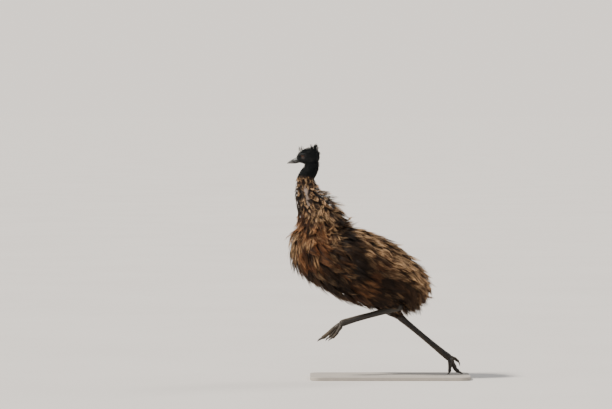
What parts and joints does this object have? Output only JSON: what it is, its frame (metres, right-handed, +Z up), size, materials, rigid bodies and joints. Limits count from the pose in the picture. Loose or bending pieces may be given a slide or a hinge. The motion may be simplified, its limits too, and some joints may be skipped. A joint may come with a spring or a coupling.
{
  "type": "emu",
  "caption": "Life-size still model of an emu in running stride, standing on one foot on a flat display base, with shaggy plumage in locks.",
  "frame": {"origin": "centre of the underside of the display base", "axes": "+Z up, -X the way the bird runs, -Y its left side"},
  "size_m": [1.1433, 0.4487, 1.4448],
  "materials": {
    "plumage": "shaggy, soft, dark brown with straw-coloured ends",
    "dark_plumage": "short, hair-like, black with a faint blue-green sheen",
    "bill": "satin horn",
    "eye": "glossy, red-brown",
    "leg_skin": "scaly skin, grey-brown, satin",
    "claw": "satin horn",
    "stand": "plain sand colour, matt"
  },
  "bodies": {
    "root": {"bill_lower": "bill", "bill_upper": "bill", "claw_inner_left": "claw", "claw_inner_right": "claw", "claw_middle_left": "claw", "claw_middle_right": "claw", "claw_outer_left": "claw", "claw_outer_right": "claw", "drumstick_left": "plumage", "drumstick_right": "plumage", "eye_left": "eye", "eye_right": "eye", "head": "dark_plumage", "neck": "plumage", "neck_upper": "dark_plumage", "shank_left": "leg_skin", "shank_right": "leg_skin", "stand_base": "stand", "tail": "plumage", "toe_inner_left": "leg_skin", "toe_inner_right": "leg_skin", "toe_middle_left": "leg_skin", "toe_middle_right": "leg_skin", "toe_outer_left": "leg_skin", "toe_outer_right": "leg_skin", "torso": "plumage", "wing_left": "plumage", "wing_right": "plumage"}
  },
  "joints": []
}
